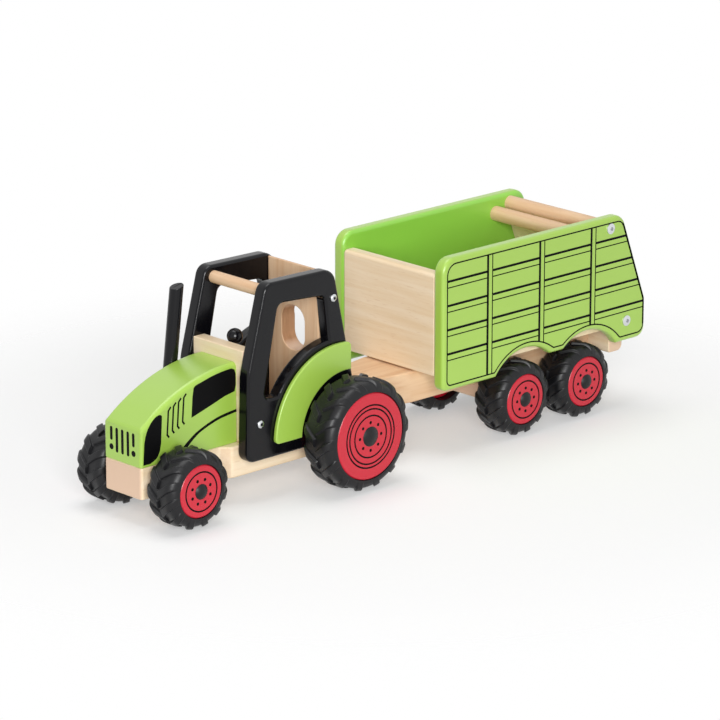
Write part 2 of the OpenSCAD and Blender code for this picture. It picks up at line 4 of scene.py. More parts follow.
import bmesh
import bpy
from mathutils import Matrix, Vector

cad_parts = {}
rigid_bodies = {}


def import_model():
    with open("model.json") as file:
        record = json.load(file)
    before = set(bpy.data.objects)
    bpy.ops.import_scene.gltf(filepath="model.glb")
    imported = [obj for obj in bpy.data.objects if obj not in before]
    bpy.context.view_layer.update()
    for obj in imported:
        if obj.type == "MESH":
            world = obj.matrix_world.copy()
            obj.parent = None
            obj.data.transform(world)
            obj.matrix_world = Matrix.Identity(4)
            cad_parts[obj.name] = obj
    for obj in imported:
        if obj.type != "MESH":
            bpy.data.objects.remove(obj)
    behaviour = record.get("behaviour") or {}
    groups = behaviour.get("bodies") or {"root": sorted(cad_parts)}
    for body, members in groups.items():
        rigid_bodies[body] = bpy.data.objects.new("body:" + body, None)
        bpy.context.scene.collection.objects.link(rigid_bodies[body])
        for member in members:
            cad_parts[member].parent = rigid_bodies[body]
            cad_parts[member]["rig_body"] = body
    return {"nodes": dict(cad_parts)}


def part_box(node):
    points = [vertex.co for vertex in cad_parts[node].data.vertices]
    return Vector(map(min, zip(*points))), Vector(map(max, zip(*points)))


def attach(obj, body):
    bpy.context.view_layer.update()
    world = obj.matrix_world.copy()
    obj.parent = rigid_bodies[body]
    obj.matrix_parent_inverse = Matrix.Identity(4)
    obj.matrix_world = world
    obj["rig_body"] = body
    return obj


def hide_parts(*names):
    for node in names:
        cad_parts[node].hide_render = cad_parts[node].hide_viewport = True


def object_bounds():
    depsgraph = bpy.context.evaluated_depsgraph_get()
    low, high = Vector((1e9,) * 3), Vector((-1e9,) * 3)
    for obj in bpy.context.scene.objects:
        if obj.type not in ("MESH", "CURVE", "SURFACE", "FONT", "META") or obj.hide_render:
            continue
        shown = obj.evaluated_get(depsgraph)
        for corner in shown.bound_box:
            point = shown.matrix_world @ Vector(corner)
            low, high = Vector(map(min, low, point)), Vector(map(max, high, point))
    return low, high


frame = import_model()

cad_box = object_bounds()

# Chassis: one beam of solid beech, sawn to plan, bored for the front axle and grooved for the rear one.
# Its arrises are rounded over on a sander and the bare wood is sealed with a clear satin lacquer.
MM = 0.001


def linear(hex_colour):
    """An sRGB hex colour as linear RGBA."""
    parts = [int(hex_colour[i:i + 2], 16) / 255 for i in (1, 3, 5)]
    return [c / 12.92 if c <= 0.04045 else ((c + 0.055) / 1.055) ** 2.4 for c in parts] + [1.0]


def add(owner, kind, inputs=None, **settings):
    """Adds one shader node, with its own settings and with values or links for its inputs."""
    made = owner.node_tree.nodes.new(kind)
    for key, value in settings.items():
        setattr(made, key, value)
    for key, value in (inputs or {}).items():
        if isinstance(value, bpy.types.NodeSocket):
            owner.node_tree.links.new(value, made.inputs[key])
        else:
            made.inputs[key].default_value = value
    return made


def empty_tree(owner):
    """Clears the shader nodes of a material or a surround."""
    owner.use_nodes = True
    owner.node_tree.nodes.clear()
    return owner


# Socket numbers of the Mix node when it mixes colours.
MIX_FACTOR, MIX_A, MIX_B, MIX_RESULT = 0, 6, 7, 2


def lacquered_beech(name, along, pale, band):
    """Beech under satin lacquer: pale, with soft growth bands, short ray flecks and darker end grain."""
    fleck, end = linear("#CFA677"), linear("#E0C0A5")
    # Real flecks are about half a millimetre wide; they are drawn twice as wide so that they show.
    band_mm, band_run_mm = 6.0, 110.0
    fleck_mm, fleck_run_mm = 1.0, 9.0
    pore_mm, pore_run_mm = 0.8, 16.0
    material = empty_tree(bpy.data.materials.new(name))
    coordinates = add(material, "ShaderNodeTexCoord")
    place = coordinates.outputs["Object"]

    def grain(across, run, detail):
        scale = [1 / (across * MM)] * 3
        scale["XYZ".index(along)] = 1 / (run * MM)
        spot = add(material, "ShaderNodeMapping", {"Vector": place, "Scale": scale})
        noise = add(material, "ShaderNodeTexNoise", {
            "Vector": spot.outputs["Vector"], "Scale": 1.0, "Detail": detail, "Distortion": 0.4,
        })
        return noise.outputs["Fac"]

    pores = grain(pore_mm, pore_run_mm, 2.0)
    banding = add(material, "ShaderNodeMapRange", {
        "Value": grain(band_mm, band_run_mm, 3.0), "From Min": 0.36, "From Max": 0.68,
    })
    flecks = add(material, "ShaderNodeMapRange", {
        "Value": grain(fleck_mm, fleck_run_mm, 1.0), "From Min": 0.62, "From Max": 0.78, "To Max": 0.3,
    })
    wood = add(material, "ShaderNodeMix", {
        MIX_FACTOR: banding.outputs["Result"], MIX_A: linear(pale), MIX_B: linear(band),
    }, data_type="RGBA")
    flecked = add(material, "ShaderNodeMix", {
        MIX_FACTOR: flecks.outputs["Result"], MIX_A: wood.outputs[MIX_RESULT], MIX_B: fleck,
    }, data_type="RGBA")
    facing = add(material, "ShaderNodeSeparateXYZ", {0: coordinates.outputs["Normal"]})
    endwise = add(material, "ShaderNodeMath", {0: facing.outputs[along]}, operation="ABSOLUTE")
    sawn_end = add(material, "ShaderNodeMapRange", {
        "Value": endwise.outputs["Value"], "From Min": 0.55, "From Max": 0.95,
    })
    ended = add(material, "ShaderNodeMix", {
        MIX_FACTOR: sawn_end.outputs["Result"], MIX_A: flecked.outputs[MIX_RESULT], MIX_B: end,
    }, data_type="RGBA")
    gloss = add(material, "ShaderNodeMapRange", {"Value": pores, "To Min": 0.4, "To Max": 0.58})
    relief = add(material, "ShaderNodeBump", {"Height": pores, "Strength": 0.15, "Distance": 0.15 * MM})
    shader = add(material, "ShaderNodeBsdfPrincipled", {
        "Base Color": ended.outputs[MIX_RESULT],
        "Roughness": gloss.outputs["Result"],
        "Normal": relief.outputs["Normal"],
        "IOR": 1.5,
    })
    add(material, "ShaderNodeOutputMaterial", {"Surface": shader.outputs["BSDF"]})
    return material


# Points nearer than WELD_MM are one point, and points within PLANE_MM of a plane lie in it.
WELD_MM, PLANE_MM = 0.002, 0.01
# An edge that turns less than FLAT_DEG is none. One that turns more than ARRIS_DEG is an arris.
FLAT_DEG, ARRIS_DEG, ARRIS_STEPS = 0.6, 32.0, 3


def cad_solid(node):
    """An editable copy of a CAD node's solid."""
    solid = bmesh.new()
    solid.from_mesh(frame["nodes"][node].data)
    bmesh.ops.remove_doubles(solid, verts=solid.verts, dist=WELD_MM * MM)
    return solid


def as_mesh(shape, name):
    """The finished mesh of an editable shape."""
    mesh = bpy.data.meshes.new(name)
    shape.to_mesh(mesh)
    shape.free()
    return mesh


def linked(name, data):
    """A new object, put into the scene."""
    made = bpy.data.objects.new(name, data)
    bpy.context.scene.collection.objects.link(made)
    return made


def finish_piece(name, mesh, node, material, replaced=True):
    """Puts a mesh into the scene as a piece that rides with a CAD node's body."""
    piece = linked(name, mesh)
    mesh.materials.clear()
    mesh.materials.append(material)
    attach(piece, frame["nodes"][node]["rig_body"])
    if replaced:
        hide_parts(node)
    return piece


def smooth(piece, sharp_deg=35.0):
    """Smooth shading that keeps flat faces flat and real corners sharp."""
    piece.data.polygons.foreach_set("use_smooth", [True] * len(piece.data.polygons))
    piece.data.set_sharp_from_angle(angle=math.radians(sharp_deg))
    even = piece.modifiers.new("even_shading", "WEIGHTED_NORMAL")
    even.keep_sharp = True
    even.weight = 90
    return piece


def sanded(node, edge_mm, material, name=None, body=None):
    """A piece with a CAD node's exact shape, or one cut for it, its arrises rounded over by sanding.

    One with a name of its own is an extra piece, and replaces nothing.
    """
    body = cad_solid(node) if body is None else body
    bmesh.ops.dissolve_limit(body, angle_limit=math.radians(FLAT_DEG), verts=body.verts, edges=body.edges)
    arrises = [e for e in body.edges if e.is_manifold and e.calc_face_angle() > math.radians(ARRIS_DEG)]
    if edge_mm:
        bmesh.ops.bevel(
            body, geom=arrises, offset=edge_mm * MM, offset_type="OFFSET", segments=ARRIS_STEPS,
            profile=0.5, affect="EDGES", clamp_overlap=False,
        )
    mesh = as_mesh(body, name or node + "_finished")
    return smooth(finish_piece(mesh.name, mesh, node, material, replaced=name is None))


WHITE_BEECH = ("#F4E0C2", "#EBD1AA")
beech_lengthwise = lacquered_beech("lacquered_beech_lengthwise", "X", *WHITE_BEECH)
sanded("chassis", 1.4, beech_lengthwise)

# Hitch peg: a turned beech dowel with a domed end, glued upright into the chassis tail.
# The trailer's drawbar drops over it and swings on it.
# It is cut from steamed beech, which is rosier than the white beech of the boards.
STEAMED_BEECH = ("#E8C6A2", "#DAB088")
steamed_upright = lacquered_beech("lacquered_steamed_beech_upright", "Z", *STEAMED_BEECH)
sanded("hitch_peg", 0, steamed_upright)

# Hood: a solid block of wood sawn to a falling curve, sanded round on every edge and sprayed lime green.
# It is glued down on the chassis; its grille and vents are printed in black ink.


def sprayed_paint(name, colour, shade, roughness, ior=1.5, coat=0.0, inside=None):
    """Water-based paint sprayed on wood: smooth, a little uneven, with the fine waviness of sprayed lacquer.

    A board whose faces turned to the toy's middle lie in shade, lit mostly by green light bounced off the
    facing board, gets its inside colour there as painted shade.
    """
    cloud_mm, peel_mm, uneven, coat_roughness = 45.0, 1.6, 0.06, 0.36
    # The inside colour, a painted shade, sets in on faces this far off the middle, and is full on those
    # further out.
    first_y_mm, full_y_mm = 10.0, 35.0
    material = empty_tree(bpy.data.materials.new(name))
    coordinates = add(material, "ShaderNodeTexCoord")
    place = coordinates.outputs["Object"]
    cloud = add(material, "ShaderNodeTexNoise", {
        "Vector": place, "Scale": 1 / (cloud_mm * MM), "Detail": 2.0,
    })
    peel = add(material, "ShaderNodeTexNoise", {
        "Vector": place, "Scale": 1 / (peel_mm * MM), "Detail": 1.0,
    })
    tint = add(material, "ShaderNodeMix", {
        MIX_FACTOR: cloud.outputs["Fac"], MIX_A: linear(colour), MIX_B: linear(shade),
    }, data_type="RGBA")
    if inside:
        spot = add(material, "ShaderNodeSeparateXYZ", {0: place})
        facing = add(material, "ShaderNodeSeparateXYZ", {0: coordinates.outputs["Normal"]})
        outward = add(material, "ShaderNodeMath", {
            0: spot.outputs["Y"], 1: facing.outputs["Y"],
        }, operation="MULTIPLY")
        inside_shade_share = add(material, "ShaderNodeMapRange", {
            "Value": outward.outputs["Value"], "From Min": -first_y_mm * MM, "From Max": -full_y_mm * MM,
        })
        tint = add(material, "ShaderNodeMix", {
            MIX_FACTOR: inside_shade_share.outputs["Result"], MIX_A: tint.outputs[MIX_RESULT], MIX_B: linear(inside),
        }, data_type="RGBA")
    gloss = add(material, "ShaderNodeMapRange", {
        "Value": cloud.outputs["Fac"], "To Min": roughness - uneven, "To Max": roughness + uneven,
    })
    relief = add(material, "ShaderNodeBump", {
        "Height": peel.outputs["Fac"], "Strength": 0.12, "Distance": 0.1 * MM,
    })
    shader = add(material, "ShaderNodeBsdfPrincipled", {
        "Base Color": tint.outputs[MIX_RESULT],
        "Roughness": gloss.outputs["Result"],
        "Normal": relief.outputs["Normal"],
        "IOR": ior,
        "Coat Weight": coat,
        "Coat Roughness": coat_roughness,
    })
    add(material, "ShaderNodeOutputMaterial", {"Surface": shader.outputs["BSDF"]})
    return material


LIME = ("#A4CB50", "#9FC64B")
lime_paint = sprayed_paint("sprayed_lime_paint", *LIME, 0.34, coat=0.7)
sanded("hood", 0.8, lime_paint)


def printing_ink(name, colour):
    """Screen-printing ink: a thin flat black film with a dry sheen and slightly broken coverage."""
    grit_mm = 0.9
    material = empty_tree(bpy.data.materials.new(name))
    place = add(material, "ShaderNodeTexCoord").outputs["Object"]
    grit = add(material, "ShaderNodeTexNoise", {"Vector": place, "Scale": 1 / (grit_mm * MM), "Detail": 2.0})
    tint = add(material, "ShaderNodeMix", {
        MIX_FACTOR: grit.outputs["Fac"], MIX_A: linear(colour), MIX_B: linear("#0A0A0B"),
    }, data_type="RGBA")
    gloss = add(material, "ShaderNodeMapRange", {"Value": grit.outputs["Fac"], "To Min": 0.5, "To Max": 0.65})
    shader = add(material, "ShaderNodeBsdfPrincipled", {
        "Base Color": tint.outputs[MIX_RESULT], "Roughness": gloss.outputs["Result"], "IOR": 1.18,
    })
    add(material, "ShaderNodeOutputMaterial", {"Surface": shader.outputs["BSDF"]})
    return material


black_ink = printing_ink("screen_printed_black_ink", "#030304")
FILM_MM, FILM_WELD_MM = 0.1, 0.005


def ribbon(path, width, closed=False):
    """Quads of a printed line along (a, b) points in mm, with one width for all of it or one a point."""
    count = len(path)
    widths = width if isinstance(width, list) else [width] * count
    left, right = [], []
    for i in range(count):
        before = Vector(path[(i - 1) % count] if closed or i > 0 else path[i])
        after = Vector(path[(i + 1) % count] if closed or i < count - 1 else path[i])
        here = Vector(path[i])
        d1 = (here - before).normalized() if (here - before).length > 1e-6 else (after - here).normalized()
        d2 = (after - here).normalized() if (after - here).length > 1e-6 else d1
        across = Vector((-(d1 + d2).y, (d1 + d2).x)).normalized()
        reach = widths[i] / 2 / max(0.5, abs(across.dot(Vector((-d1.y, d1.x)))))
        left.append(here + across * reach)
        right.append(here - across * reach)
    last = count if closed else count - 1
    return [[left[i], right[i], right[(i + 1) % count], left[(i + 1) % count]] for i in range(last)]


def arc_points(centre, radius, start_deg, end_deg, steps):
    """Points of an arc, in the plane of a print."""
    angles = [math.radians(start_deg + (end_deg - start_deg) * i / steps) for i in range(steps + 1)]
    return [(centre[0] + radius * math.cos(a), centre[1] + radius * math.sin(a)) for a in angles]


def circle_points(centre, radius, steps):
    """Points of a full circle, in the plane of a print."""
    return arc_points(centre, radius, 0, 360 - 360 / steps, steps - 1)


def printed(name, node, faces, place):
    """A film of ink on a CAD node: faces are polygons in the print's plane, which place maps to 3-D."""
    film = bmesh.new()
    for face in faces:
        film.faces.new([film.verts.new(place(p[0] * MM, p[1] * MM)) for p in face])
    bmesh.ops.remove_doubles(film, verts=film.verts, dist=FILM_WELD_MM * MM)
    piece = finish_piece(name, as_mesh(film, name), node, black_ink, replaced=False)
    body = piece.modifiers.new("ink_film", "SOLIDIFY")
    body.thickness = FILM_MM * MM
    body.offset = 0.0


def smooth_curve(points, steps=8):
    """A smooth curve through the given points."""
    ends = [points[0]] + list(points) + [points[-1]]
    out = []
    for i in range(len(points) - 1):
        a, b, c, d = (Vector(p) for p in ends[i:i + 4])
        for k in range(steps):
            t = k / steps
            out.append(0.5 * (2 * b + (c - a) * t + (2 * a - 5 * b + 4 * c - d) * t * t
                              + (3 * b - a - 3 * c + d) * t ** 3))
    return [tuple(p) for p in out] + [tuple(points[-1])]


# The prints on the hood's side are drawn as mm ahead of its rear end and mm above its foot.
hood_low, hood_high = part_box("hood")
HOOD_TOP_R, HOOD_EDGE_R = 149.0, 4.0
CELL_MM = 1.2
side_patch = (
    smooth_curve([(91.5, 2.2), (90.6, 16.5), (88.4, 25.6), (84.4, 32.0), (79.0, 36.4), (74.9, 37.6)])
    + smooth_curve([(73.0, 36.2), (73.5, 24.0), (74.3, 14.4), (75.6, 9.6), (78.8, 4.8), (85.0, 2.0)])
)
rear_patch = (
    smooth_curve([(44.6, 28.6), (43.2, 46.6)])
    + smooth_curve([(42.3, 50.6), (40.2, 52.4), (34.5, 53.8), (24.0, 56.2), (13.5, 57.7), (5.0, 58.2)])
    + smooth_curve([(1.6, 56.6), (0.9, 54.0), (0.9, 40.2)])
    + smooth_curve([(11.7, 38.3), (24.4, 34.4), (34.9, 31.3)])
)
stripe_line = smooth_curve([
    (58.0, 0.4), (52.5, 5.6), (47.6, 9.9), (39.3, 15.4), (28.8, 19.6), (18.2, 22.6), (8.7, 24.0), (0.3, 24.9),
])
# The stripe narrows from its foot over the first STRIPE_TAPER points of its line.
STRIPE_W, STRIPE_LOSS, STRIPE_TAPER = 4.6, 2.4, 26
stripe_w = [STRIPE_W - STRIPE_LOSS * min(1.0, i / STRIPE_TAPER) for i in range(len(stripe_line))]


def hood_turn_in(a, b):
    """How far the hood's side has turned in where its rounded top edge begins, in mm."""
    top = (hood_high.z - hood_low.z) / MM
    below = HOOD_TOP_R - math.hypot(a, b - top + HOOD_TOP_R)
    return HOOD_EDGE_R - math.sqrt(HOOD_EDGE_R ** 2 - max(0.0, HOOD_EDGE_R - below) ** 2)


def cells(outline, size):
    """A printed patch cut into narrow columns of small quads, so that it can lie on a rounded edge."""
    margin = 0.02
    first, last = min(p[0] for p in outline) + margin, max(p[0] for p in outline) - margin
    count = math.ceil((last - first) / size)
    spans = []
    for k in range(count + 1):
        a = first + (last - first) * k / count
        heights = [p[1] + (q[1] - p[1]) * (a - p[0]) / (q[0] - p[0])
                   for p, q in zip(outline, outline[1:] + outline[:1]) if (p[0] - a) * (q[0] - a) < 0]
        spans.append((a, min(heights), max(heights)))
    quads = []
    for (a0, low0, high0), (a1, low1, high1) in zip(spans, spans[1:]):
        rows = math.ceil(max(high0 - low0, high1 - low1) / size)
        steps = [(low0 + (high0 - low0) * k / rows, low1 + (high1 - low1) * k / rows)
                 for k in range(rows + 1)]
        quads += [[(a0, z0), (a1, z1), (a1, z3), (a0, z2)] for (z0, z1), (z2, z3) in zip(steps, steps[1:])]
    return quads


VENTS, VENT_W, VENT_STEP, VENT_RISE = 4, 1.55, -5.0, 2.3
vents = []
for i in range(VENTS):
    dx, dz = VENT_STEP * i, VENT_RISE * i
    hooked = [(64.4 + dx, 41.3 + dz), (66.8 + dx, 38.6 + dz), (68.2 + dx, 20.6 + dz), (66.4 + dx, 18.2 + dz)]
    vents += ribbon(hooked, VENT_W)
SIDES = (("left", 1), ("right", -1))
for side, sign in SIDES:
    face_y = hood_high.y if sign > 0 else hood_low.y

    def on_hood_side(a, b):
        return (hood_low.x + a, face_y - sign * hood_turn_in(a / MM, b / MM) * MM, hood_low.z + b)

    printed("hood_print_" + side, "hood",
            cells(side_patch, CELL_MM) + cells(rear_patch, CELL_MM) + vents + ribbon(stripe_line, stripe_w),
            on_hood_side)

# The grille is drawn on the hood's nose, as mm to the left and mm above its foot.
# Of its five bars the outer two are short, with a round lamp under each.
BAR_W, BAR_PITCH, BAR_TOP, BAR_LOW, SHORT_BAR_LOW = 2.8, 6.2, 25.5, 6.4, 14.8
LAMP_Z, LAMP_R, LAMP_STEPS = 9.8, 2.3, 24
grille = []
for i in range(-2, 3):
    low = BAR_LOW if abs(i) < 2 else SHORT_BAR_LOW
    across = BAR_PITCH * i
    grille += [arc_points((across, low + BAR_W / 2), BAR_W / 2, 180, 360, 8)
               + arc_points((across, BAR_TOP - BAR_W / 2), BAR_W / 2, 0, 180, 8)]
    if abs(i) == 2:
        grille += [circle_points((across, LAMP_Z), LAMP_R, LAMP_STEPS)]


def on_hood_nose(a, b):
    return (hood_high.x, a, hood_low.z + b)


printed("hood_print_grille", "hood", grille, on_hood_nose)

# Exhaust stack: a dowel glued into a groove in the hood's right side, its top sawn at a slant.
# It is sprayed satin black before it goes in.
black_paint = sprayed_paint("sprayed_black_paint", "#09090E", "#07070A", 0.16, ior=1.36)
sanded("exhaust_stack", 0.6, black_paint)

# Dash board: a beech board glued upright between the cab's sides, behind the hood.
# Its grain runs across the toy, and its top edges are rounded.
beech_across = lacquered_beech("lacquered_beech_across", "Y", *WHITE_BEECH)
sanded("dash_board", 1.0, beech_across)

# Steering knob: a wooden ball turned in one piece with its stem, painted black.
# The stem turns in a slanting bore in the dash board.
sanded("steering_knob", 0, black_paint)

# Back board: a steamed beech board across the rear of the cab, screwed between the side panels.
# A tall window is routed through it; the window's wall is given a darker brown than the faces as painted
# shade, for the shade inside the window.
SHADED_WINDOW_BEECH = ("#B98C68", "#A2754F")
# Size of the solid's window, how far its top is below the board's, and how far it comes down here.
WINDOW_W, WINDOW_H, WINDOW_BELOW, WINDOW_DROP, WINDOW_SLACK = 25.0, 43.0, 25.0, 8.5, 0.1
window_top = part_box("cab_back_board")[1].z - WINDOW_BELOW * MM


def in_window(spot, height):
    """Whether a point lies on the window's wall, within a height below the solid window's top."""
    down = (window_top - spot.z) / MM
    return abs(spot.y) / MM < WINDOW_W / 2 + WINDOW_SLACK and -WINDOW_SLACK < down < height


back = cad_solid("cab_back_board")
for v in back.verts:
    if in_window(v.co, WINDOW_W / 2):
        v.co.z -= WINDOW_DROP * MM
back_board = sanded("cab_back_board", 1.0, steamed_upright, body=back)
# The darker brown on the window's wall is painted shade.
window_shade_upright = lacquered_beech("lacquered_beech_with_painted_window_shade", "Z", *SHADED_WINDOW_BEECH)
back_board.data.materials.append(window_shade_upright)
for face in back_board.data.polygons:
    if in_window(face.center, WINDOW_H + WINDOW_SLACK) and abs(face.normal.x) < 0.5:
        face.material_index = 1

# Roof dowel: a plain beech dowel that holds the two cab panels apart at the front of the roof.
# Its ends are glued into blind holes.
steamed_across = lacquered_beech("lacquered_steamed_beech_across", "Y", *STEAMED_BEECH)
sanded("roof_dowel", 0, steamed_across)

# Cab panels: plywood sides sawn to outline with a window each, edges rounded with a router.
# They are sprayed satin black and screwed to the dash and back boards.
# Openings narrower than SCREW_HOLE_MM are screw holes, which the heads cover.
SCREW_HOLE_MM = 6.0
CAB_EDGE_MM, CAB_CORNER_MM, CORNER_TURN_DEG = 2.4, 8.0, 45.0


def outline_loops(node):
    """Closed outlines of a flat upright board, as (x, z) points: its sawn edge and its openings."""
    shape = cad_solid(node)
    shape.edges.index_update()
    high = max(v.co.y for v in shape.verts)
    low = min(v.co.y for v in shape.verts)
    outer = high if abs(high) > abs(low) else low
    face = {f for f in shape.faces if all(abs(v.co.y - outer) < PLANE_MM * MM for v in f.verts)}
    rim = {e for e in shape.edges if sum(f in face for f in e.link_faces) == 1}
    loops = []
    while rim:
        edge = min(rim, key=lambda e: e.index)
        rim.remove(edge)
        run = [edge.verts[0], edge.verts[1]]
        while run[-1] is not run[0]:
            edge = next(e for e in run[-1].link_edges if e in rim)
            rim.remove(edge)
            run.append(edge.other_vert(run[-1]))
        loops.append([(v.co.x, v.co.z) for v in run[:-1]])
    shape.free()
    return loops, low, high


def rounded_corner(before, corner, after, radius, steps=6):
    """Points of a rounding between two straight runs."""
    corner = Vector(corner)
    d1, d2 = (Vector(before) - corner).normalized(), (Vector(after) - corner).normalized()
    half = d1.angle(d2) / 2
    centre = corner + (d1 + d2).normalized() * (radius / math.sin(half))
    start, end = corner + d1 * (radius / math.tan(half)), corner + d2 * (radius / math.tan(half))
    a0 = math.atan2(start.y - centre.y, start.x - centre.x)
    sweep = math.remainder(math.atan2(end.y - centre.y, end.x - centre.x) - a0, 2 * math.pi)
    return arc_points(centre, radius, math.degrees(a0), math.degrees(a0 + sweep), steps)


def softened(loop, radius):
    """An outline whose tight corners between two long straight runs are sanded to a wider rounding."""
    points = [Vector(point) for point in loop]
    count = len(points)
    runs = [i for i in range(count) if (points[(i + 1) % count] - points[i]).length > 2 * radius]
    soft = []
    for i, j in zip(runs, runs[1:] + runs[:1]):
        start, end = points[i], points[(i + 1) % count]
        onward, last = points[j], points[(j + 1) % count]
        near = (onward - end).length < radius
        if near and (end - start).angle(last - onward) > math.radians(CORNER_TURN_DEG):
            reach = (onward - start).cross(last - onward) / (end - start).cross(last - onward)
            soft += rounded_corner(start, start + (end - start) * reach, last, radius)
        else:
            soft += [loop[(i + 1 + k) % count] for k in range((j - i - 1) % count + 1)]
    return soft


def baked(thing):
    """The mesh of a curve's thickness, or of an object with its modifiers worked in."""
    bpy.context.view_layer.update()
    return bpy.data.meshes.new_from_object(thing.evaluated_get(bpy.context.evaluated_depsgraph_get()))


def routed(node, edge_mm, material, steps=4, corner_mm=0.0):
    """A flat upright board of a CAD node's outline, its edges and openings rounded over with a router."""
    loops, low, high = outline_loops(node)
    # The sawn edge reaches furthest back, so it comes first.
    loops.sort(key=lambda loop: min(x for x, z in loop))
    if corner_mm:
        loops[0] = softened(loops[0], corner_mm * MM)
    board = bpy.data.curves.new(node + "_finished", "CURVE")
    board.dimensions = "2D"
    board.fill_mode = "BOTH"
    board.extrude = (high - low) / 2 - edge_mm * MM
    board.bevel_depth = edge_mm * MM
    board.bevel_resolution = steps
    board.offset = -edge_mm * MM
    for loop in loops:
        wide = max(x for x, z in loop) - min(x for x, z in loop)
        if wide < SCREW_HOLE_MM * MM:
            continue
        line = board.splines.new("POLY")
        line.points.add(len(loop) - 1)
        for point, (x, z) in zip(line.points, loop):
            point.co = (x, z, 0, 1)
        line.use_cyclic_u = True
    flat = linked(node + "_flat", board)
    mesh = baked(flat)
    bpy.data.objects.remove(flat)
    upright = bmesh.new()
    upright.from_mesh(mesh)
    for v in upright.verts:
        v.co = (v.co.x, (low + high) / 2 - v.co.z, v.co.y)
    bmesh.ops.remove_doubles(upright, verts=upright.verts, dist=WELD_MM * MM)
    bmesh.ops.recalc_face_normals(upright, faces=upright.faces)
    upright.to_mesh(mesh)
    upright.free()
    smooth(finish_piece(node + "_finished", mesh, node, material))


for side in ("left", "right"):
    routed("cab_panel_" + side, CAB_EDGE_MM, black_paint, corner_mm=CAB_CORNER_MM)

# Fenders: thin plywood arcs sawn to follow the rear wheels, sprayed lime green like the hood.
# They are glued flat on the cab panels.
FENDER_EDGE_MM = 1.2
for side in ("left", "right"):
    routed("fender_" + side, FENDER_EDGE_MM, lime_paint)

# Cab and trailer screws: zinc-plated pan-head wood screws with a cross recess.
# They hold the side panels to the boards between them.


def zinc_plate(name, colour, shade, roughness):
    """Zinc on steel: a grey metal, its gloss broken by fine barrel-plating marks; darker, duller copies of it
    serve as painted shade in a recess.
    """
    mark_mm, uneven = 0.7, 0.08
    material = empty_tree(bpy.data.materials.new(name))
    place = add(material, "ShaderNodeTexCoord").outputs["Object"]
    marks = add(material, "ShaderNodeTexNoise", {"Vector": place, "Scale": 1 / (mark_mm * MM), "Detail": 3.0})
    tint = add(material, "ShaderNodeMix", {
        MIX_FACTOR: marks.outputs["Fac"], MIX_A: linear(colour), MIX_B: linear(shade),
    }, data_type="RGBA")
    gloss = add(material, "ShaderNodeMapRange", {
        "Value": marks.outputs["Fac"], "To Min": roughness - uneven, "To Max": roughness + uneven,
    })
    shader = add(material, "ShaderNodeBsdfPrincipled", {
        "Base Color": tint.outputs[MIX_RESULT], "Roughness": gloss.outputs["Result"], "Metallic": 1.0,
    })
    add(material, "ShaderNodeOutputMaterial", {"Surface": shader.outputs["BSDF"]})
    return material


zinc = zinc_plate("bright_zinc_plated_steel", "#E4E6E8", "#C9CCD0", 0.32)
HEAD_H, SHANK_R, SHANK_L = 1.8, 1.7, 26.0
CAB_HEAD_R, TRAILER_HEAD_R = 2.9, 4.3
# Size of the cross recess at its top, as shares of the head's radius, and the share left at its bottom.
# Its depth is in mm and less in the larger heads; what cuts it stands CUTTER_PROUD mm over them.
RECESS_W, RECESS_L, RECESS_TAPER, CUTTER_PROUD = 0.55, 1.2, 0.55, 1.0
CAB_RECESS, TRAILER_RECESS = 1.5, 0.35
# The head's wall stands straight up to this share of its height; a low dome closes it.
WALL_SHARE, HEAD_SIDES, DOME_STEPS = 0.45, 32, 8
# Each screw of a node stops this much further round than the one before it.
TURN_STEP_DEG = 37
# The cross recesses take darker zinc as painted shade: deep in the cab screws' deep recesses, light in the
# trailer screws' shallow ones.
cab_recess_shaded_zinc = zinc_plate("zinc_darkened_as_painted_recess_shade", "#505156", "#424347", 0.5)
trailer_recess_shaded_zinc = zinc_plate("zinc_lightly_darkened_as_painted_recess_shade", "#A9AAB0", "#929399", 0.4)


def lathe(shape, profile, steps):
    """Turns (radius, height) points in mm about +Z and adds the closed skin to a mesh."""
    rings = []
    for radius, height in profile:
        turn = [2 * math.pi * k / steps for k in range(steps if radius > 1e-6 else 1)]
        rings.append([shape.verts.new((radius * math.cos(a) * MM, radius * math.sin(a) * MM, height * MM))
                      for a in turn])
    for lower, upper in zip(rings, rings[1:]):
        for k in range(steps):
            loop = [lower[k % len(lower)], lower[(k + 1) % len(lower)],
                    upper[(k + 1) % len(upper)], upper[k % len(upper)]]
            shape.faces.new(list(dict.fromkeys(loop)))


